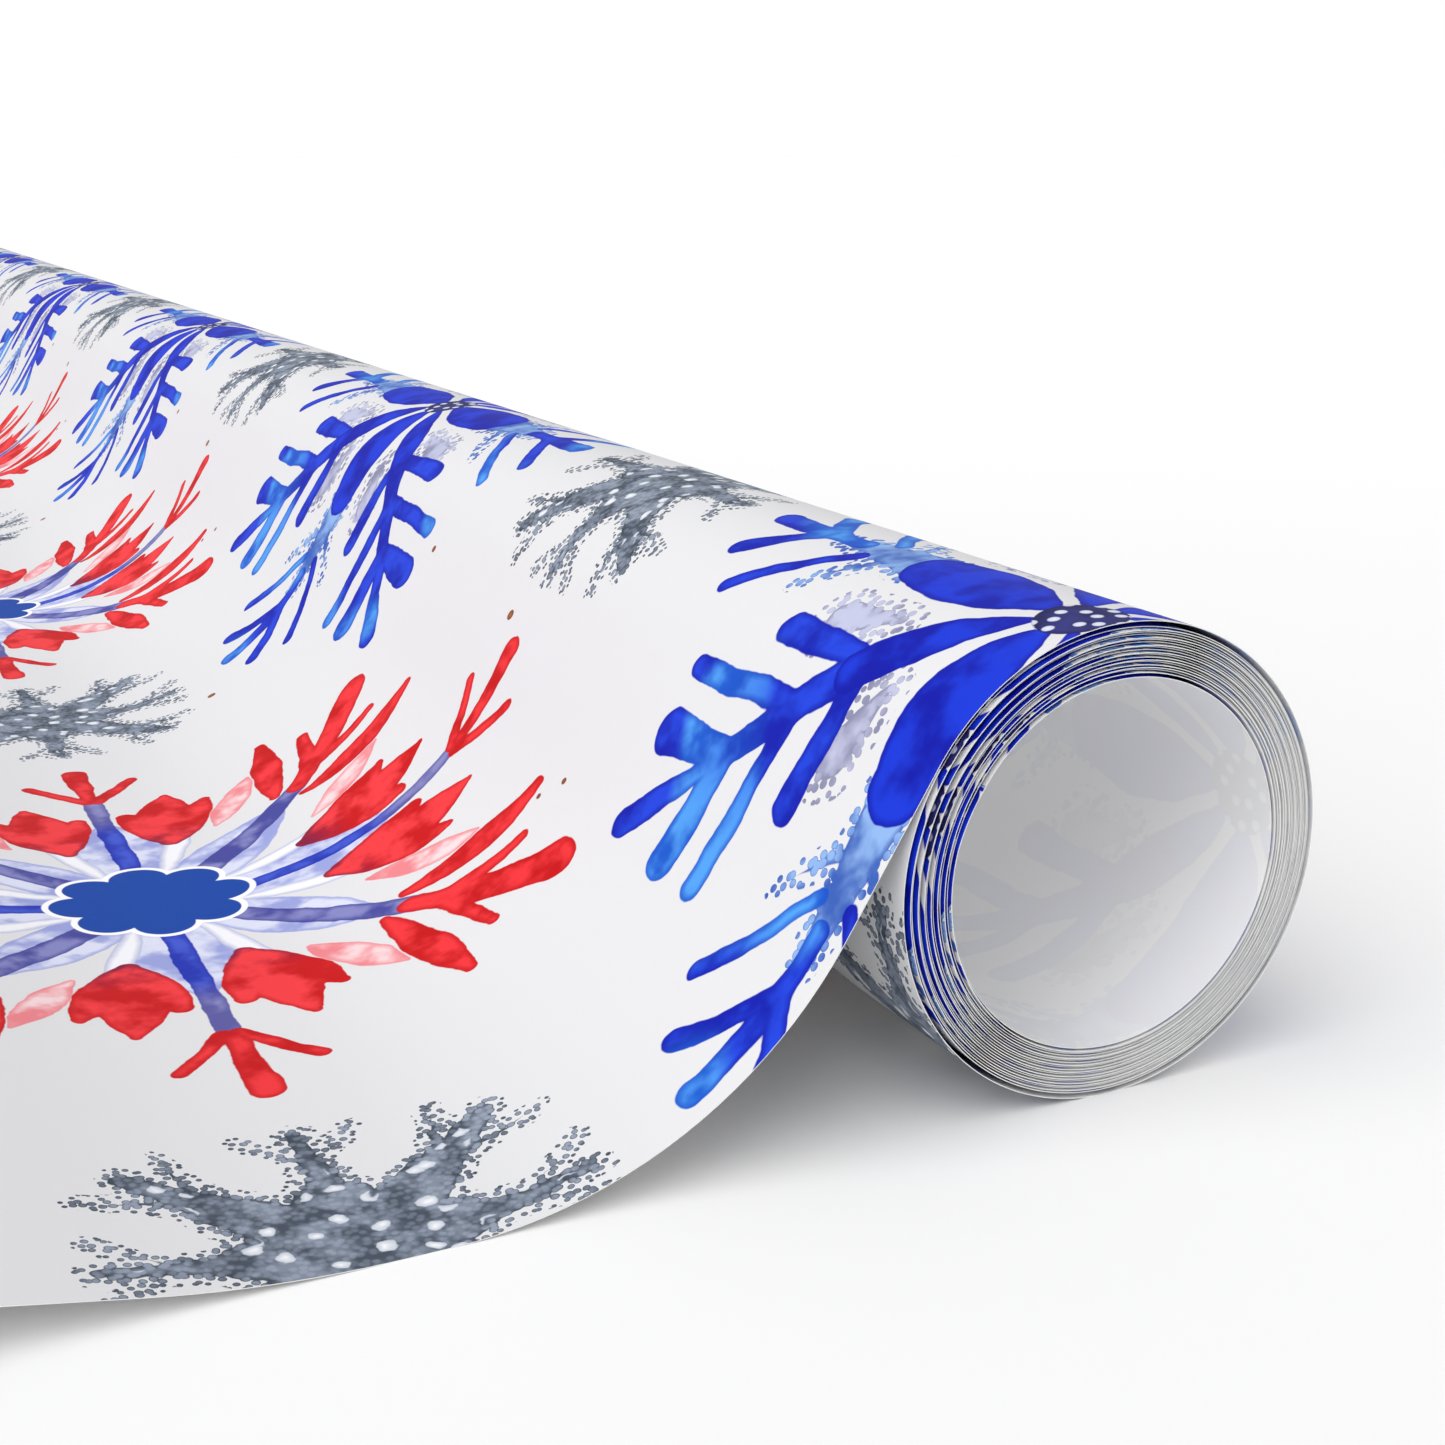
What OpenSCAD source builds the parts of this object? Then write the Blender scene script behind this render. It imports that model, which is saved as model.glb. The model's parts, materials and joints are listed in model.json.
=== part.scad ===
// A coreless roll of gift wrapping paper with its outer end drawn off.
//
// It is one paper web. The turns are wound round an open bore. The outermost
// turn belongs to the drawn sheet, which leaves the roll on a tangent, sweeps
// down to the table, lies flat for a moment and then rises in a low arch to its
// free edge. The roll can turn inside the outermost turn, and the free end can
// be lifted about the line where it leaves the table.
//
// The origin is on the roll's axis at the middle of its width. +Z is up, +Y runs
// along the axis and the sheet leaves the roll towards -X.

/* [Paper] */
// Width of the web, which is the length of the roll
web_w = 762; // [300:1:1100]
// Thickness of the paper
paper_t = 0.07; // [0.06:0.01:0.18]

/* [Roll] */
// Radius of the open bore
bore_r = 16.3; // [10:0.1:30]
// Turns in the roll, the innermost and the outermost included
turns = 21; // [6:1:30]
// Air between one turn and the next
air_gap = 0.14; // [0.06:0.01:0.3]
// Radial clearance between the outermost turn and the turns that spin in it
spin_gap = 0.25; // [0.2:0.05:0.6]
// Angle in which the web climbs over its own inner edge
lap_deg = 18; // [9:9:45]

/* [Drawn sheet] */
// Angle round the roll, from +X, at which the sheet leaves it
leave_deg = 148.5; // [121.5:9:166.5]
// Straight run of the sheet after it leaves the roll
drop_len = 15.3; // [8:0.1:20]
// Length that lies flat on the table
flat_len = 3.7; // [3:0.1:20]

/* [Free end] */
// Clearance between the flat length and the free end that hinges from it
lift_gap = 0.1; // [0.05:0.01:0.3]
// Radius of the bend in which the free end rises from the table
rise_r = 97; // [60:1:200]
// Slope that the free end reaches
rise_deg = 11.2; // [6:0.1:16]
// Straight run at that slope
rise_len = 8.8; // [4:0.1:20]
// Radius of the low arch that brings the edge down to the table again
arch_r = 370; // [200:1:600]

/* [Hidden] */
// Angle of one flat facet of a turn, and the facets of the true round turn
facet_deg = 9;
round_facets = 120;
// Facets of the sweep, of the rise and of the arch
sweep_facets = 13;
rise_facets = 4;
arch_facets = 9;

// One turn's step in radius, and the turns between the innermost and outermost
pitch = paper_t + air_gap;
wound_deg = 360 * (turns - 2);
// Inner radius of the web's wall, which climbs over the inner edge and then
// grows by one pitch a turn; a is the angle from the start of the wound turns
function wound_r(a) =
    bore_r + pitch * (a < lap_deg ? a / lap_deg : 1 + (a - lap_deg) / 360);
// Inner radius of the outermost turn, a degrees after its own start
outer_start_r = wound_r(wound_deg) + paper_t + spin_gap;
function outer_r(a) = outer_start_r + pitch * a / 360;
roll_r = outer_r(360) + paper_t;

function polar(r, deg) = [r * cos(deg), r * sin(deg)];
// Cross-section of a wall one paper thick. Each station is [x, z, heading] on
// the face that looks towards the bore or the table.
function outer_side(s) = [s.x, s.y] + polar(paper_t, s.z - 90);
function wall(stations) = concat(
    [for (s = stations) [s.x, s.y]],
    [for (i = [len(stations) - 1 : -1 : 0]) outer_side(stations[i])]);
// Stations of a turn of the web, from its inner radius as a function of angle
function station(r, deg) = [r * cos(deg), r * sin(deg), deg + 90];

wound_stations = [for (a = [0 : facet_deg : wound_deg])
    station(wound_r(a), leave_deg + a)];
outer_stations = [for (a = [0 : facet_deg : 360])
    station(outer_r(a), leave_deg + a)];
// The table is level with the lowest corner of the outermost turn
table_z = min([for (s = outer_stations) outer_side(s).y]);

// Stations of a bend: deg is positive to the left of the heading
function bend(from, r, deg, facets) =
    let (side = sign(deg) * 90,
         centre = [from.x, from.y] + polar(r, from.z + side))
    [for (i = [0 : facets])
        let (h = from.z + deg * i / facets, p = centre - polar(r, h + side))
        [p.x, p.y, h]];
function ahead(from, length) =
    let (p = [from.x, from.y] + polar(length, from.z)) [p.x, p.y, from.z];
function last(list) = list[len(list) - 1];

// The sweep: off the roll, straight, round to level and flat on the table
sweep_start = station(outer_r(360), leave_deg);
sweep_top = ahead(sweep_start, drop_len);
sweep_deg = sweep_top.z - 180;
sweep_r = (sweep_top.y - table_z) / (1 - cos(sweep_deg));
sweep_bend = bend(sweep_top, sweep_r, -sweep_deg, sweep_facets);
sweep_end = ahead(last(sweep_bend), flat_len);
sweep_stations = concat([sweep_start], sweep_bend, [sweep_end]);

// The free end: a gap, the rise, a straight run and the arch down to the table
free_start = ahead(sweep_end, lift_gap);
rise_bend = bend(free_start, rise_r, -rise_deg, rise_facets);
arch_start = ahead(last(rise_bend), rise_len);
arch_top_z = arch_start.y + arch_r * (1 - cos(rise_deg));
edge_deg = acos(1 - (arch_top_z - table_z) / arch_r);
arch_bend = bend(arch_start, arch_r, rise_deg + edge_deg, arch_facets);
free_stations = concat(rise_bend, arch_bend);

// Lengths of the web: wound, swept and free. The wall's middle counts.
wound_len = PI / 180 * wound_deg * (wound_r(wound_deg) + bore_r + paper_t) / 2;
inner_len = PI / 180 * (360 - lap_deg) * (bore_r + paper_t / 2);
outer_len = 2 * PI * (outer_r(180) + paper_t / 2);
sweep_len = drop_len + flat_len + PI / 180 * sweep_deg * sweep_r;
free_len = rise_len + PI / 180 * (rise_r * rise_deg + arch_r * (rise_deg + edge_deg));
web_len = inner_len + wound_len + outer_len + sweep_len + free_len;
echo(web_len = web_len, roll_r = roll_r, table_z = table_z, sweep_r = sweep_r,
    sheet_from_roll = sweep_len + free_len, outer_turn = outer_len,
    hinge = [sweep_end.x, table_z + paper_t], free_edge = last(free_stations));

// A cross-section drawn out over the width of the web
module web(stations) {
    translate([0, web_w / 2, 0]) rotate([90, 0, 0])
        linear_extrude(height = web_w) polygon(wall(stations));
}

// The innermost turn, a true round wall with its free edge at the lap
module inner_turn() {
    color("lavender") translate([0, web_w / 2, 0]) rotate([90, 0, 0])
        rotate([0, 0, leave_deg + lap_deg])
            rotate_extrude(angle = 360 - lap_deg, $fn = round_facets)
                translate([bore_r, 0]) square([paper_t, web_w]);
}

// The turns between the innermost and the outermost
module wound_turns() {
    color("royalblue") web(wound_stations);
}

// The outermost turn, which stays with the drawn sheet
module outer_turn() {
    color("ghostwhite") web(outer_stations);
}

// The sheet from the roll to the table
module sheet_sweep() {
    color("lightsteelblue") web(sweep_stations);
}

// The sheet from the table to its free edge
module free_end() {
    color("crimson") web(free_stations);
}

inner_turn();
wound_turns();
outer_turn();
sheet_sweep();
free_end();
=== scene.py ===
"""A coreless roll of gift wrapping paper with its outer end drawn off over a table.

The paper is one web. It is shown as two pieces: the turns that spin with the roll, and the
outermost turn with the drawn sheet, which bends where its free end lifts. Both are surfaces
swept along the path of the web, one paper thick, and both carry the web's own place on a UV
map, so that the snowflake print runs on over the outermost turn and the sheet as on the real
roll.
"""

import json

import bpy
import numpy as np
from mathutils import Euler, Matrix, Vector


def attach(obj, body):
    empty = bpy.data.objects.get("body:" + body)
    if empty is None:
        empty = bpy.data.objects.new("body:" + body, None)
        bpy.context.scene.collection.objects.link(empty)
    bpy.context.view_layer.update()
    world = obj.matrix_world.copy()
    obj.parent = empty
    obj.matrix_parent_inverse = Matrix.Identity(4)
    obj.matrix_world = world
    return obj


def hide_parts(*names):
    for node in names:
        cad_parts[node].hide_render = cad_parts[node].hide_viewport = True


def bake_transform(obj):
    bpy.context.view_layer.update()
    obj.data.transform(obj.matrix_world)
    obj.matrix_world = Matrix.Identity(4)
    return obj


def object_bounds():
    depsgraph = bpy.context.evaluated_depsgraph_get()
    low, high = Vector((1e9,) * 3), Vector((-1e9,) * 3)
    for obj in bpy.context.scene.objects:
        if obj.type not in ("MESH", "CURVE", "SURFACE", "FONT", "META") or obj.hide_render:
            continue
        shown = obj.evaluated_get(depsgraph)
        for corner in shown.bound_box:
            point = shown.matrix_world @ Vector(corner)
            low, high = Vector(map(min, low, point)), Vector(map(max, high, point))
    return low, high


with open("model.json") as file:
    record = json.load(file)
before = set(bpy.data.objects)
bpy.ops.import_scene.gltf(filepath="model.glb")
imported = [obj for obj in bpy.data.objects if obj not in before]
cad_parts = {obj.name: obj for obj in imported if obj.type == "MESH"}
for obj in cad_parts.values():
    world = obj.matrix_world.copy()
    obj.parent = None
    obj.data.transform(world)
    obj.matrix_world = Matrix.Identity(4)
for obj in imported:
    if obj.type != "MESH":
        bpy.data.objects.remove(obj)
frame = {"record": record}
cad_box = [list(corner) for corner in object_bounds()]
record = frame["record"]
mounts = {mount["name"]: mount for mount in record["mounts"]}

# ------------------------------------------------------------------ sizes, in millimetres
MM = 0.001
BORE_R = mounts["roll_bore"]["dims"]["r_mm"]
WEB_W = mounts["roll_bore"]["dims"]["length_mm"]
PAPER_T = 0.07
AIR_GAP = 0.14
TURNS = 21
SPIN_GAP = 0.25
LAP_DEG = 18.0
LEAVE_DEG = 148.5
DROP_LEN = 15.3
FLAT_LEN = 3.7
RISE_R = 97.0
RISE_DEG = 11.2
RISE_LEN = 8.8
ARCH_R = 370.0
PITCH = PAPER_T + AIR_GAP
WOUND_DEG = 360.0 * (TURNS - 2)
TABLE_Z = cad_box[0][2] / MM

# The artwork is printed at this share of its own size, and every measure of it below is in
# its own millimetres: its repeat along and across the web, and where a red snowflake's
# centre lies, along from the line where the web leaves the roll and across from the near edge.
# A blue snowflake lies half a repeat away from it both ways.
PRINT_SCALE = 0.88
REPEAT_ALONG = 182.6
REPEAT_ACROSS = 182.6
RED_ALONG = 69.6
RED_ACROSS = 95.4
BLUE_ALONG = RED_ALONG - REPEAT_ALONG / 2
BLUE_ACROSS = RED_ACROSS - REPEAT_ACROSS / 2


# ------------------------------------------------------------------ camera
def place_camera():
    """A normal lens, low and to the left of the roll's near end. It looks down and to the right
    of the roll's axis by the two angles, in degrees."""
    lens = bpy.data.cameras.new("camera")
    lens.lens = 50.9
    lens.sensor_width = 36.0
    lens.clip_start = 0.01
    camera = bpy.data.objects.new("camera", lens)
    near_end = Vector((0.0, -WEB_W / 2, TABLE_Z)) * MM
    camera.location = near_end + Vector((-0.10074, -0.13109, 0.07886))
    down, right = 15.674, 25.958
    camera.rotation_euler = Euler(np.radians([90.0 - down, 0.0, -right]), "XYZ")
    bpy.context.scene.collection.objects.link(camera)
    bpy.context.scene.camera = camera


place_camera()


# ------------------------------------------------------------------ path of the web
def wound_radius(deg):
    """Inner radius of the wound web, deg after its free inner edge. It keeps to the bore for
    the first turn, climbs one pitch over its own edge, then grows by one pitch a turn."""
    past = deg - (360.0 - LAP_DEG)
    climb = np.clip(past / LAP_DEG, 0.0, 1.0)
    spiral = np.maximum(past - LAP_DEG, 0.0) / 360.0
    return BORE_R + PITCH * (climb + spiral)


WOUND_END = 360.0 - LAP_DEG + WOUND_DEG
OUTER_START_R = wound_radius(WOUND_END) + PAPER_T + SPIN_GAP


def spiral_path(radius, degrees):
    """Places and headings on a spiral of the given inner radii: x = r cos a, z = r sin a, and
    the web heads a quarter turn on from a."""
    angle = np.radians(degrees)
    place = np.stack([radius * np.cos(angle), radius * np.sin(angle)], 1)
    return place, degrees + 90.0


def drawn_path(steps):
    """The web from its line of leaving to its free edge, as runs of length and turn in degrees:
    each run's heading changes evenly, and the place is the sum of its steps."""
    start_r = OUTER_START_R + PITCH
    start = np.array([np.cos(np.radians(LEAVE_DEG)), np.sin(np.radians(LEAVE_DEG))]) * start_r
    heading = LEAVE_DEG + 90.0
    down = np.array([np.cos(np.radians(heading)), np.sin(np.radians(heading))])
    sweep_deg = heading - 180.0
    fall = start[1] + DROP_LEN * down[1] - TABLE_Z
    sweep_r = fall / (1.0 - np.cos(np.radians(sweep_deg)))
    rise_z = RISE_R * (1.0 - np.cos(np.radians(RISE_DEG)))
    rise_z += RISE_LEN * np.sin(np.radians(RISE_DEG))
    top_z = rise_z + ARCH_R * (1.0 - np.cos(np.radians(RISE_DEG)))
    edge_deg = np.degrees(np.arccos(1.0 - top_z / ARCH_R))
    runs = [
        (DROP_LEN, 0.0),
        (sweep_r * np.radians(sweep_deg), -sweep_deg),
        (FLAT_LEN, 0.0),
        (RISE_R * np.radians(RISE_DEG), -RISE_DEG),
        (RISE_LEN, 0.0),
        (ARCH_R * np.radians(RISE_DEG + edge_deg), RISE_DEG + edge_deg),
    ]
    lengths = np.array([run[0] for run in runs])
    turns = np.array([run[1] for run in runs])
    ends = np.concatenate([[0.0], np.cumsum(lengths)])
    along = np.linspace(0.0, ends[-1], steps + 1)
    headings = heading + np.interp(along, ends, np.concatenate([[0.0], np.cumsum(turns)]))
    middle = np.radians((headings[1:] + headings[:-1]) / 2)
    step = np.diff(along)[:, None] * np.stack([np.cos(middle), np.sin(middle)], 1)
    place = start + np.concatenate([[[0.0, 0.0]], np.cumsum(step, axis=0)])
    return place, headings, along


def run_lengths(place):
    """Length along a path at each of its points, from the first."""
    return np.concatenate([[0.0], np.cumsum(np.linalg.norm(np.diff(place, axis=0), axis=1))])


# ------------------------------------------------------------------ surfaces
# Faces that meet at more than this many degrees have a sharp edge between them
SHARP_DEG = 50.0


def web_mesh(name, place, heading, along, columns, finishes, stray=0.0):
    """A closed web one paper thick, swept along a path in x and z.

    Row i and column j of the grid hold place i, pushed out along its normal for the printed
    face, at width j. The printed face turns away from the bore. stray moves each row sideways,
    in mm, as the edges of a wound web wander from one turn to the next.
    """
    rows = len(place)
    outward = np.radians(heading - 90.0)
    normal = np.stack([np.cos(outward), np.sin(outward)], 1)
    across = np.linspace(-WEB_W / 2, WEB_W / 2, columns)
    wander = np.zeros(rows) + stray
    co = np.zeros((2, rows, columns, 3))
    for layer, depth in enumerate((0.0, PAPER_T)):
        profile = place + normal * depth
        co[layer, :, :, 0] = profile[:, :1]
        co[layer, :, :, 1] = across + wander[:, None]
        co[layer, :, :, 2] = profile[:, 1:]
    index = np.arange(2 * rows * columns).reshape(2, rows, columns)

    def quads(a, b, c, d):
        return np.stack([a, b, c, d], -1).reshape(-1, 4)

    back, face = index
    printed = quads(face[:-1, :-1], face[:-1, 1:], face[1:, 1:], face[1:, :-1])
    reverse = quads(back[:-1, :-1], back[1:, :-1], back[1:, 1:], back[:-1, 1:])
    edges = np.concatenate([
        quads(back[:-1, 0], face[:-1, 0], face[1:, 0], back[1:, 0]),
        quads(back[:-1, -1], back[1:, -1], face[1:, -1], face[:-1, -1]),
        quads(back[0, :-1], back[0, 1:], face[0, 1:], face[0, :-1]),
        quads(back[-1, :-1], face[-1, :-1], face[-1, 1:], back[-1, 1:]),
    ])
    faces = np.concatenate([printed, reverse, edges])
    mesh = bpy.data.meshes.new(name)
    mesh.from_pydata((co.reshape(-1, 3) * MM).tolist(), [], faces.tolist())
    counts = (len(printed), len(reverse), len(edges))
    mesh.polygons.foreach_set("material_index", np.repeat([0, 1, 2], counts).astype(np.int32))
    mesh.polygons.foreach_set("use_smooth", np.ones(len(faces), bool))
    uv = np.zeros((2, rows, columns, 2))
    uv[..., 0] = along[:, None] * MM
    uv[..., 1] = (across + WEB_W / 2) * MM
    corner = np.zeros(len(mesh.loops), np.int32)
    mesh.loops.foreach_get("vertex_index", corner)
    web_map = mesh.uv_layers.new(name="web")
    web_map.uv.foreach_set("vector", uv.reshape(-1, 2)[corner].astype(np.float32).ravel())
    for finish in finishes:
        mesh.materials.append(finish)
    mesh.set_sharp_from_angle(angle=np.radians(SHARP_DEG))
    mesh.validate()
    piece = bpy.data.objects.new(name, mesh)
    bpy.context.scene.collection.objects.link(piece)
    return piece


# ------------------------------------------------------------------ finishes
def rgb(code):
    """A colour from its sRGB hex code, as linear red, green, blue and alpha."""
    parts = np.array([int(code[i:i + 2], 16) for i in (1, 3, 5)]) / 255.0
    linear = np.where(parts > 0.04045, ((parts + 0.055) / 1.055) ** 2.4, parts / 12.92)
    return (*linear.tolist(), 1.0)


def add(tree, kind, *values, out=None, named=None, **settings):
    """Adds a node with its settings, sets or links its inputs in order or by name, and gives
    the output asked for, or the first one in use. A node's inputs that are not in use are
    passed over."""
    node = tree.nodes.new(kind)
    for key, value in settings.items():
        setattr(node, key, value)
    open_inputs = [socket for socket in node.inputs if socket.enabled]
    pairs = list(zip(open_inputs, values))
    pairs += [(node.inputs[key], value) for key, value in (named or {}).items()]
    for socket, value in pairs:
        if isinstance(value, bpy.types.NodeSocket):
            tree.links.new(value, socket)
        elif value is not None:
            socket.default_value = value
    if out is not None:
        return node.outputs[out]
    return next((socket for socket in node.outputs if socket.enabled), node)


MATH = "ShaderNodeMath"
VECTOR = "ShaderNodeVectorMath"
MIX = "ShaderNodeMix"
NOISE = "ShaderNodeTexNoise"
CELLS = "ShaderNodeTexVoronoi"
RANGE = "ShaderNodeMapRange"
# With this a range goes from 0 at its first limit to 1 at its second by a smooth step
SMOOTH = {"interpolation_type": "SMOOTHSTEP"}
# Width over which a wash fades out, and of the darker rim that pigment leaves, in mm of artwork
EDGE_SOFT = 0.16
RIM = 0.9


def stroke(tree, place, start, end, wide, tip, belly=0.0):
    """Distance in mm to a brush stroke, negative inside it. The stroke runs from start to end,
    and half its width goes from wide to tip, with belly more in the middle."""
    run = np.subtract(end, start)
    step = run / np.dot(run, run)
    off = add(tree, VECTOR, place, (*start, 0.0), operation="SUBTRACT")
    share = add(tree, VECTOR, off, (*step, 0.0), operation="DOT_PRODUCT")
    share = add(tree, MATH, share, 0.0, operation="ADD", use_clamp=True)
    back = add(tree, VECTOR, (*-run, 0.0), share, operation="SCALE")
    away = add(tree, VECTOR, off, back, operation="ADD")
    gap = add(tree, VECTOR, away, operation="LENGTH")
    half = add(tree, MATH, share, tip - wide, wide, operation="MULTIPLY_ADD")
    if belly:
        left = add(tree, MATH, 1.0, share, operation="SUBTRACT")
        arch = add(tree, MATH, left, share, operation="MULTIPLY")
        half = add(tree, MATH, arch, 4.0 * belly, half, operation="MULTIPLY_ADD")
    return add(tree, MATH, gap, half, operation="SUBTRACT")


def strokes(tree, place, shapes, blend=0.6):
    """The brush strokes of one wash, run together where they meet. Each is given as its start,
    its end, half its width at either end and, if it has one, its belly, all in mm."""
    field = stroke(tree, place, *shapes[0])
    for shape in shapes[1:]:
        field = add(tree, MATH, field, stroke(tree, place, *shape), blend,
                    operation="SMOOTH_MIN")
    return field


def wash(tree, under, field, deep, pale, pigment, strength=1.0):
    """Paints a watercolour wash over a colour where field is negative. The pigment, from 0 to
    1, thins it from deep to pale, and it gathers to deep again in the rim."""
    cover = add(tree, MATH, field, -strength / EDGE_SOFT, 0.5 * strength,
                operation="MULTIPLY_ADD", use_clamp=True)
    if strength < 1.0:
        cover = add(tree, MATH, cover, strength, operation="MINIMUM")
    inside = add(tree, MATH, field, -1.0 / RIM, 0.0, operation="MULTIPLY_ADD", use_clamp=True)
    thin = add(tree, MATH, inside, pigment, operation="MULTIPLY")
    colour = add(tree, MIX, thin, deep, pale, data_type="RGBA")
    return add(tree, MIX, cover, under, colour, data_type="RGBA")


def around(tree, place, centre):
    """Place in mm round the nearest of the centres that repeat with the print."""
    off = add(tree, VECTOR, place, (*centre, 0.0), operation="SUBTRACT")
    half = (REPEAT_ALONG / 2, REPEAT_ACROSS / 2, 1.0)
    return add(tree, VECTOR, off, half, tuple(-side for side in half), operation="WRAP")


def wobbled(tree, local, wave, swing, seed):
    """A place moved by smooth noise, so that a hand-painted edge wavers. wave is the noise's
    longest wave and swing its reach, both in mm, and seed shifts it, so that no two kinds of
    snowflake waver alike. Noise seldom strays more than a quarter from its middle, so it is
    taken four times the swing. Also gives the noise's own value."""
    moved = add(tree, VECTOR, local, (seed, -seed, 0.0), operation="ADD")
    noise = add(tree, NOISE, out="Color", noise_dimensions="2D",
                named={"Vector": moved, "Scale": 1.0 / wave, "Detail": 3.5, "Roughness": 0.55})
    middle = add(tree, VECTOR, noise, (0.5, 0.5, 0.5), operation="SUBTRACT")
    reach = 4.0 * swing
    shift = add(tree, VECTOR, middle, (reach, reach, 0.0), local, operation="MULTIPLY_ADD")
    return shift, noise.node.outputs["Fac"]


def folded(tree, place):
    """One eighth of a snowflake stands for all eight: x is the larger of the distances along
    the two axes and y the smaller, so arms lie along y = 0 and along y = x."""
    size = add(tree, VECTOR, place, operation="ABSOLUTE")
    along = add(tree, "ShaderNodeSeparateXYZ", size, out="X")
    across = along.node.outputs["Y"]
    far = add(tree, MATH, along, across, operation="MAXIMUM")
    near = add(tree, MATH, along, across, operation="MINIMUM")
    return add(tree, "ShaderNodeCombineXYZ", far, near), far


def grains(tree, local, size, low, high):
    """Stipple: round grains of the given spacing in mm, from 1 at a grain's middle to 0."""
    dots = add(tree, CELLS, named={"Vector": local, "Scale": 1.0 / size}, out="Distance",
               voronoi_dimensions="2D")
    return add(tree, RANGE, dots, high, low, **SMOOTH)


def paint_red(tree, under, place):
    """Red snowflake: lavender petals and blue stems round a plain rosette, red buds and forks."""
    local = around(tree, place, (RED_ALONG, RED_ACROSS))
    moved, value = wobbled(tree, local, 7.0, 0.34, 31.0)
    arm, far = folded(tree, moved)
    pigment = add(tree, RANGE, value, 0.36, 0.62, **SMOOTH)
    petals = strokes(tree, arm, [
        ((6.0, 0.0), (33.0, 0.0), 3.2, 0.5, 4.3),
        ((4.0, 4.0), (23.0, 23.0), 2.6, 0.6, 3.3),
    ], 0.2)
    under = wash(tree, under, petals, rgb("#9AA3DC"), rgb("#DDE1F5"), pigment)
    slits = strokes(tree, arm, [((9.0, 3.6), (27.0, 9.4), 0.5, 0.9, 0.9)])
    under = wash(tree, under, slits, rgb("#B9BEDD"), rgb("#F4F5FA"), 1.0)
    blush = strokes(tree, arm, [((24.5, 13.5), (38.0, 21.5), 0.4, 0.3, 2.0)])
    under = wash(tree, under, blush, rgb("#EE6A74"), rgb("#FBDADD"), pigment, 0.85)
    buds = strokes(tree, arm, [
        ((21.5, 6.6), (35.0, 3.4), 1.0, 1.4, 1.4),
        ((21.5, 6.6), (41.8, 9.6), 1.0, 0.7, 3.4),
        ((21.5, 6.6), (36.0, 14.4), 1.0, 0.9, 2.0),
    ], 0.8)
    outward = add(tree, RANGE, far, 21.0, 29.0, **SMOOTH)
    dark = add(tree, MIX, outward, rgb("#86103A"), rgb("#C8050C"), data_type="RGBA")
    under = wash(tree, under, buds, dark, rgb("#F23A40"), pigment)
    stem = strokes(tree, arm, [((9.0, 0.0), (44.5, 0.0), 1.5, 1.3)])
    violet = add(tree, RANGE, far, 27.0, 36.0, **SMOOTH)
    ink = add(tree, MIX, violet, rgb("#1B30B0"), rgb("#5B5AA0"), data_type="RGBA")
    tint = add(tree, MIX, violet, rgb("#3F57CF"), rgb("#8A8AC0"), data_type="RGBA")
    under = wash(tree, under, stem, ink, tint, pigment)
    limb = strokes(tree, arm, [((8.0, 8.0), (26.5, 26.5), 1.9, 1.8)])
    under = wash(tree, under, limb, rgb("#45479A"), rgb("#8587C2"), pigment)
    forks = strokes(tree, arm, [
        ((45.0, 0.0), (58.6, 0.0), 1.2, 1.9),
        ((43.8, 0.8), (52.4, 7.2), 1.1, 1.0),
        ((25.8, 25.8), (41.2, 41.2), 1.7, 3.0),
        ((31.0, 29.4), (40.8, 31.4), 1.5, 0.9),
        ((26.2, 22.4), (47.0, 26.0), 0.8, 0.9, 1.5),
    ])
    under = wash(tree, under, forks, rgb("#C4050C"), rgb("#F0343A"), pigment)
    still, _ = folded(tree, local)
    rosette = strokes(tree, still, [
        ((0.0, 0.0), (8.6, 0.0), 5.0, 3.6),
        ((0.0, 0.0), (6.1, 6.1), 5.0, 3.6),
    ], 0.4)
    rim = add(tree, MATH, rosette, 0.8, operation="SUBTRACT")
    under = wash(tree, under, rim, rgb("#FFFFFF"), rgb("#FFFFFF"), 1.0)
    return wash(tree, under, rosette, rgb("#0A45A5"), rgb("#0A45A5"), 1.0)


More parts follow.
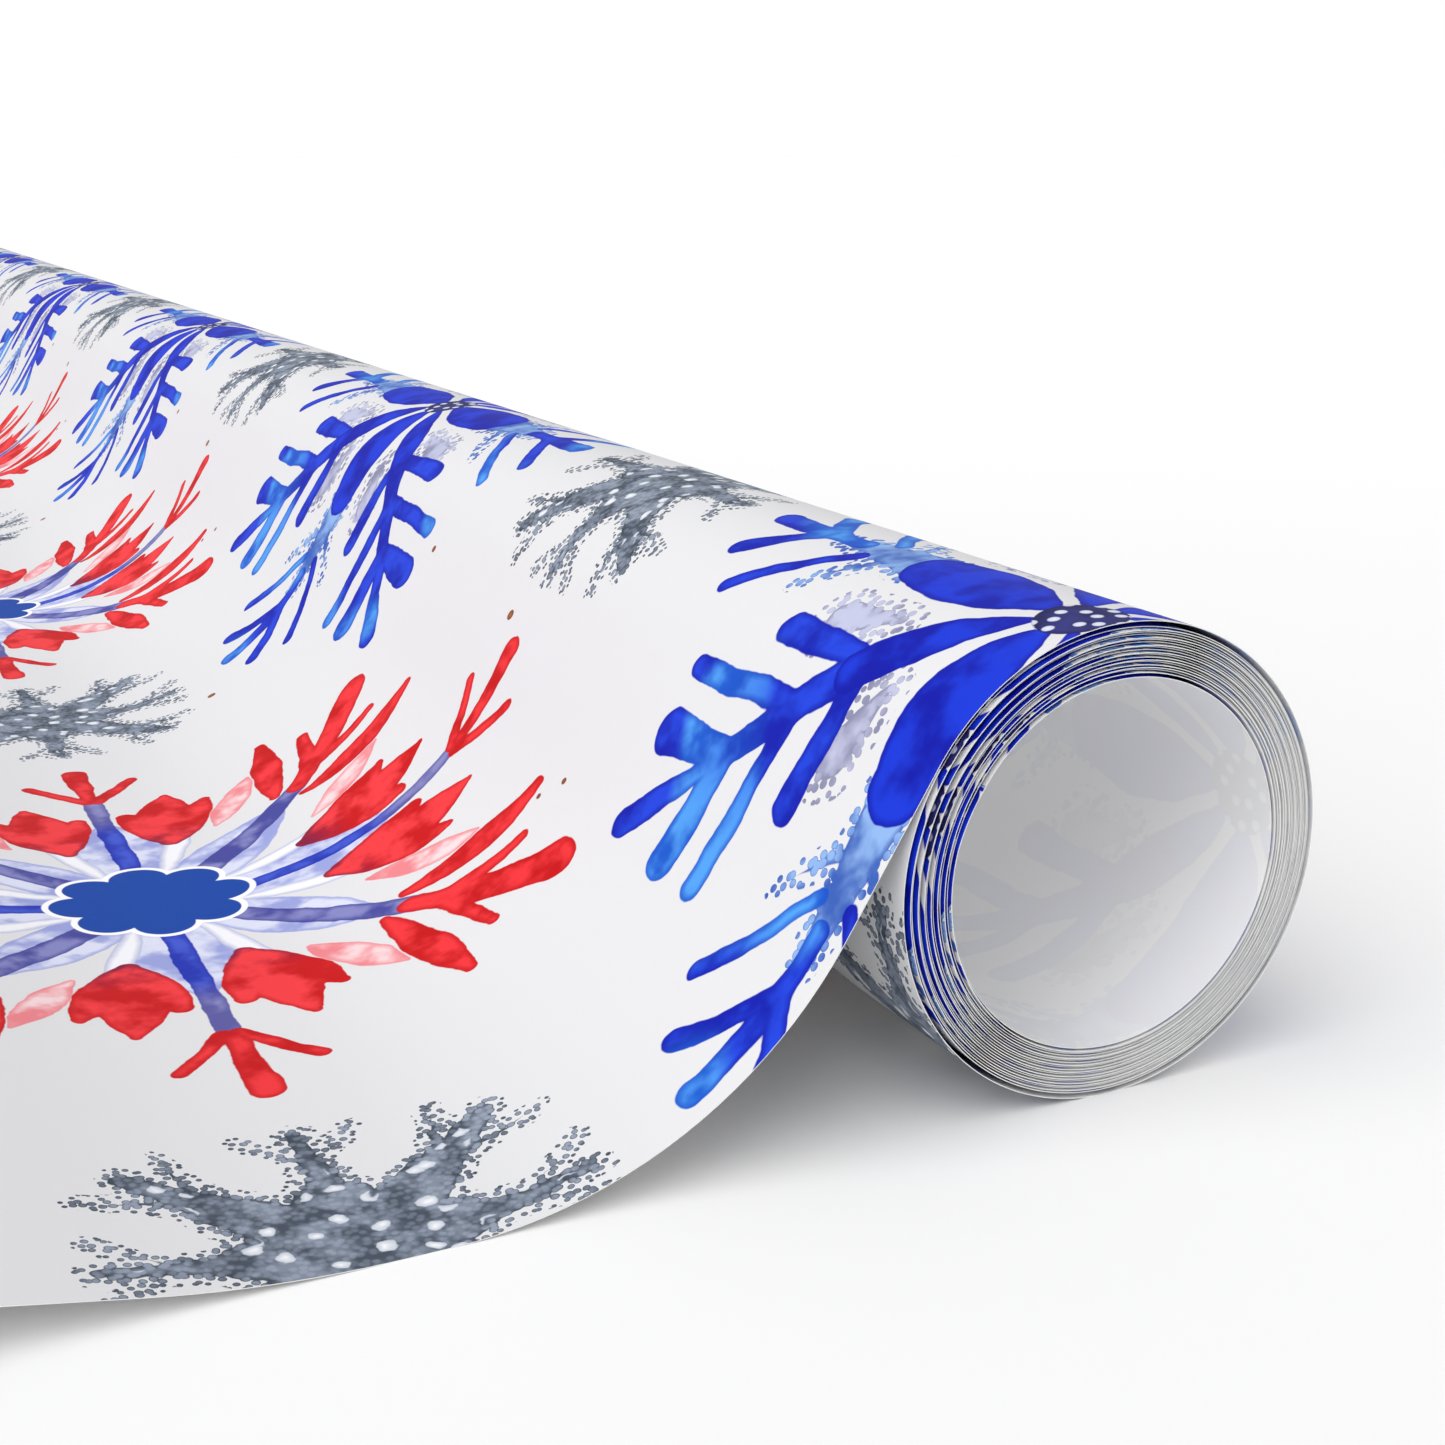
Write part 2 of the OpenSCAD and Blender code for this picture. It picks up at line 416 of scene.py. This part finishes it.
def paint_blue(tree, under, place):
    """Blue snowflake: ultramarine leaves and fingers, azure arms, stipple and a dark heart."""
    local = around(tree, place, (BLUE_ALONG, BLUE_ACROSS))
    moved, value = wobbled(tree, local, 8.0, 0.36, 57.0)
    arm, far = folded(tree, moved)
    pigment = add(tree, RANGE, value, 0.34, 0.64, **SMOOTH)
    grain = grains(tree, local, 1.25, 0.25, 0.5)
    patch = strokes(tree, arm, [((17.0, 9.6), (25.0, 12.0), 2.0, 4.2)])
    patch = add(tree, MATH, grain, -2.6, patch, operation="MULTIPLY_ADD")
    patch = add(tree, MATH, patch, 1.5, operation="ADD")
    under = wash(tree, under, patch, rgb("#77789C"), rgb("#BCBFDD"), pigment, 0.9)
    spray = strokes(tree, arm, [
        ((27.0, 0.0), (43.0, 0.0), 4.6, 2.0),
        ((33.0, 3.0), (39.0, 10.5), 1.6, 0.5),
    ])
    spray = add(tree, MATH, grain, -1.6, spray, operation="MULTIPLY_ADD")
    spray = add(tree, MATH, spray, 0.9, operation="ADD")
    under = wash(tree, under, spray, rgb("#3A5FB4"), rgb("#8FB4E8"), pigment)
    fingers = strokes(tree, arm, [
        ((40.0, 0.0), (48.0, 0.0), 1.3, 1.4),
        ((46.5, 0.0), (58.6, 0.0), 1.5, 1.9),
        ((47.5, 0.8), (56.2, 8.0), 1.3, 1.5),
        ((37.0, 2.6), (50.0, 13.6), 1.0, 1.2),
        ((17.5, 15.2), (31.8, 15.2), 1.6, 2.1),
        ((23.5, 22.4), (43.6, 23.4), 1.5, 1.7),
        ((31.0, 30.2), (43.0, 31.2), 1.9, 2.7),
        ((13.0, 13.0), (36.0, 36.0), 2.6, 1.5),
        ((35.0, 35.0), (42.2, 42.2), 1.5, 2.2),
    ])
    broad = add(tree, NOISE, named={"Vector": local, "Scale": 1.0 / 18.18, "Detail": 0.0},
                out="Fac", noise_dimensions="2D")
    azure = add(tree, RANGE, broad, 0.44, 0.6, **SMOOTH)
    outer = add(tree, RANGE, far, 20.0, 40.0, **SMOOTH)
    azure = add(tree, MATH, azure, outer, operation="MULTIPLY")
    ink = add(tree, MIX, azure, rgb("#0818A8"), rgb("#1657C8"), data_type="RGBA")
    tint = add(tree, MIX, azure, rgb("#1E42D8"), rgb("#509EEE"), data_type="RGBA")
    under = wash(tree, under, fingers, ink, tint, pigment)
    leaves = strokes(tree, arm, [
        ((3.5, 0.0), (24.5, 0.0), 0.5, 4.6, 2.6),
        ((2.6, 2.6), (17.0, 17.0), 0.3, 2.4, 1.5),
    ], 0.3)
    under = wash(tree, under, leaves, rgb("#0613A4"), rgb("#1436D2"), pigment)
    length = add(tree, VECTOR, local, operation="LENGTH")
    heart = add(tree, MATH, length, 4.6, operation="SUBTRACT")
    under = wash(tree, under, heart, rgb("#1C1B52"), rgb("#33357E"), pigment)
    beads = add(tree, CELLS, named={"Vector": local, "Scale": 1.0 / 2.381}, out="Distance",
                voronoi_dimensions="2D")
    beads = add(tree, MATH, beads, 2.4, -0.62, operation="MULTIPLY_ADD")
    beads = add(tree, MATH, beads, heart, operation="MAXIMUM")
    return wash(tree, under, beads, rgb("#C9CEE6"), rgb("#F7F8FB"), 1.0)


def paint_slate(tree, under, place):
    """Small slate snowflake: a stippled grey star with white dots."""
    one = around(tree, place, (RED_ALONG, BLUE_ACROSS))
    two = around(tree, place, (BLUE_ALONG, RED_ACROSS))
    one_size = add(tree, VECTOR, one, operation="LENGTH")
    two_size = add(tree, VECTOR, two, operation="LENGTH")
    nearer = add(tree, MATH, two_size, one_size, operation="LESS_THAN")
    local = add(tree, MIX, nearer, one, two, data_type="VECTOR")
    moved, value = wobbled(tree, local, 4.0, 0.55, 83.0)
    arm, _ = folded(tree, moved)
    star = strokes(tree, arm, [
        ((0.0, 0.0), (8.0, 0.0), 9.0, 4.6),
        ((8.0, 0.0), (21.6, 0.0), 2.8, 1.5),
        ((16.0, 0.8), (22.0, 5.4), 0.9, 0.6),
        ((5.0, 5.0), (16.8, 16.8), 4.6, 1.9),
        ((14.0, 11.4), (21.2, 13.0), 1.3, 0.6),
    ])
    grain = grains(tree, local, 0.9, 0.2, 0.55)
    pigment = add(tree, RANGE, value, 0.35, 0.65, **SMOOTH)
    thin = add(tree, MATH, pigment, 0.65, 0.1, operation="MULTIPLY_ADD")
    thin = add(tree, MATH, grain, 0.3, thin, operation="MULTIPLY_ADD")
    speckled = add(tree, MATH, grain, -1.6, star, operation="MULTIPLY_ADD")
    speckled = add(tree, MATH, speckled, 0.8, operation="ADD")
    under = wash(tree, under, speckled, rgb("#37414F"), rgb("#939DAE"), thin)
    dots = add(tree, CELLS, named={"Vector": moved, "Scale": 1.0 / 4.167}, out="Distance",
               voronoi_dimensions="2D")
    dots = add(tree, MATH, dots, 5.0, -0.95, operation="MULTIPLY_ADD")
    body = add(tree, MATH, star, 1.6, operation="ADD")
    dots = add(tree, MATH, dots, body, operation="MAXIMUM")
    return wash(tree, under, dots, rgb("#C3CAD6"), rgb("#F6F7F9"), 1.0)


# Stray drops of paint: places along and across from a red snowflake's centre, and radius
DROPS = ((-62.6, 5.4, 0.75), (-65.5, 41.8, 0.55), (-45.6, -28.2, 0.4), (-48.8, -31.5, 0.45),
         (-26.0, 80.0, 0.7), (40.0, -57.0, 0.5))


def paint_specks(tree, under, place):
    """Stray drops of brown and gold paint."""
    local = around(tree, place, (RED_ALONG, RED_ACROSS))
    drops = None
    for along, across, size in DROPS:
        off = add(tree, VECTOR, local, (along, across, 0.0), operation="DISTANCE")
        drop = add(tree, MATH, off, size, operation="SUBTRACT")
        drops = drop if drops is None else add(tree, MATH, drops, drop, operation="MINIMUM")
    return wash(tree, under, drops, rgb("#6B2A18"), rgb("#C07A3A"), 1.0)


def print_group():
    """The print as a node group: the web's place in metres gives its colour. The bare paper is
    an off-white with a trace of blue."""
    tree = bpy.data.node_groups.new("snowflake print", "ShaderNodeTree")
    tree.interface.new_socket("Web", in_out="INPUT", socket_type="NodeSocketVector")
    tree.interface.new_socket("Color", in_out="OUTPUT", socket_type="NodeSocketColor")
    web = add(tree, "NodeGroupInput", out="Web")
    artwork = 1.0 / (PRINT_SCALE * MM)
    place = add(tree, VECTOR, web, (artwork, artwork, 0.0), operation="MULTIPLY")
    paper = rgb("#E1E1E3")
    colour = paint_specks(tree, paper, place)
    colour = paint_slate(tree, colour, place)
    colour = paint_blue(tree, colour, place)
    colour = paint_red(tree, colour, place)
    add(tree, "NodeGroupOutput", named={"Color": colour})
    return tree


def new_finish(name, roughness):
    """A material of the given roughness, with its node tree and its shader. Paper and its
    coatings bend light by about 1.5."""
    material = bpy.data.materials.new(name)
    material.use_nodes = True
    tree = material.node_tree
    shader = next(node for node in tree.nodes if node.type == "BSDF_PRINCIPLED")
    shader.inputs["Roughness"].default_value = roughness
    shader.inputs["IOR"].default_value = 1.5
    return material, tree, shader


def printed_colour(tree, group):
    """The print's colour at the piece's own place on the web, in a material."""
    place = add(tree, "ShaderNodeUVMap", uv_map="web")
    return add(tree, "ShaderNodeGroup", named={"Web": place}, out="Color", node_tree=group)


def fibres(tree, shader, spacing, depth):
    """Bump from paper fibres: noise of the given spacing and depth in mm. Real fibres lie a
    few hundredths of a millimetre apart, which is too fine to show, so these are coarser."""
    place = add(tree, "ShaderNodeTexCoord", out="Object")
    height = add(tree, NOISE, out="Fac",
                 named={"Vector": place, "Scale": 1.0 / (spacing * MM), "Detail": 2.0})
    bump = add(tree, "ShaderNodeBump",
               named={"Height": height, "Distance": depth * MM, "Strength": 0.6})
    tree.links.new(bump, shader.inputs["Normal"])


def coated_face(group):
    """Clay-coated, calendered printing paper, printed in colour: a soft satin face with a faint
    tooth. Its gloss is weak, so the inks keep their full colour against the light."""
    material, tree, shader = new_finish("coated printed paper", 0.5)
    tree.links.new(printed_colour(tree, group), shader.inputs["Base Color"])
    shader.inputs["Specular IOR Level"].default_value = 0.1
    fibres(tree, shader, 0.5, 0.01)
    return material


def uncoated_reverse(group):
    """The uncoated back of the same paper: matt white, and thin enough for the print on the
    other side to show through as a faint lavender shade."""
    material, tree, shader = new_finish("uncoated paper back", 0.85)
    ink = printed_colour(tree, group)
    shown = add(tree, MIX, 0.08, rgb("#EDEDED"), ink, data_type="RGBA")
    tree.links.new(shown, shader.inputs["Base Color"])
    fibres(tree, shader, 0.4, 0.015)
    return material


def cut_edge():
    """The slit edge of the paper: bare white fibre, quite rough, with a tone that changes over
    a few millimetres."""
    material, tree, shader = new_finish("slit paper edge", 0.9)
    place = add(tree, "ShaderNodeTexCoord", out="Object")
    tone = add(tree, NOISE, named={"Vector": place, "Scale": 1.0 / (2.5 * MM)}, out="Fac")
    white = add(tree, MIX, tone, rgb("#E9E9E6"), rgb("#FAFAF8"), data_type="RGBA")
    tree.links.new(white, shader.inputs["Base Color"])
    return material


pattern = print_group()
finishes = [coated_face(pattern), uncoated_reverse(pattern), cut_edge()]

# ------------------------------------------------------------------ the paper
# Facets of one turn, steps along the drawn sheet, and lines across each piece
FACETS = 180
SHEET_STEPS = 140
WOUND_COLUMNS = 9
DRAWN_COLUMNS = 61
wound_deg = np.linspace(0.0, WOUND_END, int(WOUND_END / 360.0 * FACETS) + 1)
inner_deg = 360.0 - LAP_DEG
place_deg = wound_deg - inner_deg + LEAVE_DEG
wound_place, wound_heading = spiral_path(wound_radius(wound_deg), place_deg)
outer_deg = np.linspace(0.0, 360.0, FACETS + 1)
outer_place, outer_heading = spiral_path(OUTER_START_R + PITCH * outer_deg / 360.0,
                                         outer_deg + LEAVE_DEG)
sheet_place, sheet_heading, sheet_along = drawn_path(SHEET_STEPS)
outer_along = run_lengths(outer_place)
outer_along -= outer_along[-1]

# The print comes round nearly in register, one repeat a turn give or take a slip in mm of
# artwork, with the blue snowflakes' near row at BLUE_DEG. On the innermost turn it runs true
# to size, with that row at INNER_BLUE_DEG. The slip's wave leaves no two turns in a row alike.
BLUE_DEG = 146.0
INNER_BLUE_DEG = 12.0
SLIP = 9.0
SLIP_WAVES = 0.382
wound_turn = place_deg / 360.0
slip = SLIP * np.sin(2.0 * np.pi * SLIP_WAVES * wound_turn)
repeats = wound_turn - BLUE_DEG / 360.0
wound_along = PRINT_SCALE * (BLUE_ALONG + slip + REPEAT_ALONG * repeats)
inner_along = PRINT_SCALE * BLUE_ALONG + np.radians(place_deg - INNER_BLUE_DEG) * BORE_R
wound_along = np.where(wound_deg < inner_deg, inner_along, wound_along)

# Once in STRAY_TURNS a turn stands proud of its neighbours by about STRAY in mm. It does so
# most at STRAY_DEG and least across from there, and by more and less in a slow swell.
STRAY = 0.32
STRAY_TURNS = 2.9
STRAY_DEG = 142.0
lean = 0.58 + 0.42 * np.cos(2.0 * np.pi * wound_turn - np.radians(STRAY_DEG))
swell = 1.0 + 0.3 * np.sin(1.7 * wound_turn)
stray = -STRAY * lean * swell * np.sin(2.0 * np.pi * wound_turn / STRAY_TURNS)
wound_paper = web_mesh("wound_paper", wound_place, wound_heading, wound_along, WOUND_COLUMNS,
                       finishes, stray)
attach(wound_paper, "roll")
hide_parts("inner_turn", "wound_turns")

drawn_paper = web_mesh(
    "drawn_paper",
    np.concatenate([outer_place, sheet_place[1:]]),
    np.concatenate([outer_heading, sheet_heading[1:]]),
    np.concatenate([outer_along, sheet_along[1:]]),
    DRAWN_COLUMNS, finishes)
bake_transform(drawn_paper)
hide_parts("outer_turn", "sheet_sweep", "free_end")


# ------------------------------------------------------------------ stage and light
# Half of the floor's side, in metres
FLOOR_HALF = 20.0


def stage():
    """A plain pale floor, level with the lowest line of the roll. Its faint glow is painted
    light: an emission that grows with the distance from the roll's near end, so that the floor
    runs out into the white of the surround and is left a little darker near the roll as painted
    shade."""
    mesh = bpy.data.meshes.new("floor")
    level = TABLE_Z * MM
    corners = [(-FLOOR_HALF, -FLOOR_HALF, level), (FLOOR_HALF, -FLOOR_HALF, level),
               (FLOOR_HALF, FLOOR_HALF, level), (-FLOOR_HALF, FLOOR_HALF, level)]
    mesh.from_pydata(corners, [], [(0, 1, 2, 3)])
    floor = bpy.data.objects.new("floor", mesh)
    bpy.context.scene.collection.objects.link(floor)
    material, tree, shader = new_finish("matt white floor", 0.9)
    shader.inputs["Base Color"].default_value = rgb("#F5F5F5")
    shader.inputs["Emission Color"].default_value = rgb("#FFFFFF")
    place = add(tree, "ShaderNodeTexCoord", out="Object")
    near_end = (0.0, -WEB_W / 2 * MM, level)
    away = add(tree, VECTOR, place, near_end, operation="DISTANCE")
    # painted light: the floor's emission is least near the roll, which paints a faint shade round
    # it, and lifts the floor further off to white
    painted_light_glow = add(tree, RANGE, away, 0.15, 0.5, 0.03, 0.09)
    tree.links.new(painted_light_glow, shader.inputs["Emission Strength"])
    shader.inputs["Specular IOR Level"].default_value = 0.1
    mesh.materials.append(material)


def lamp(settings, towards, place=(0.0, 0.0, 0.0)):
    """Puts a lamp with its settings at a place in metres, turned to shine towards a side."""
    piece = bpy.data.objects.new(settings.name, settings)
    piece.location = place
    piece.rotation_euler = Vector(towards).to_track_quat("-Z", "Y").to_euler()
    bpy.context.scene.collection.objects.link(piece)
    return piece


def light():
    """A broad soft key from high on the left and front, a strip in the bore's near end on its
    left that shines across it, and an even white surround, which is brighter to look at than
    the light it gives."""
    key = bpy.data.lights.new("key", "SUN")
    key.energy = 2.15
    key.angle = np.radians(70.0)
    lamp(key, (0.62, 0.25, -0.82))
    strip = bpy.data.lights.new("bore strip", "AREA")
    strip.shape = "RECTANGLE"
    strip.size = 110.0 * MM
    strip.size_y = 10.0 * MM
    strip.energy = 0.004
    from_near_end = 70.0
    strip_place = Vector((-14.0, from_near_end - WEB_W / 2, 0.0)) * MM
    lamp(strip, (1.0, 0.0, 0.0), strip_place).visible_camera = False
    world = bpy.data.worlds.new("surround")
    bpy.context.scene.world = world
    world.use_nodes = True
    tree = world.node_tree
    surround = next(node for node in tree.nodes if node.type == "BACKGROUND")
    seen = add(tree, "ShaderNodeLightPath", out="Is Camera Ray")
    strength = add(tree, RANGE, seen, 0.0, 1.0, 0.5, 1.0)
    surround.inputs["Color"].default_value = rgb("#FFFFFF")
    tree.links.new(strength, surround.inputs["Strength"])
    bpy.context.scene.view_settings.view_transform = "Standard"


stage()
light()
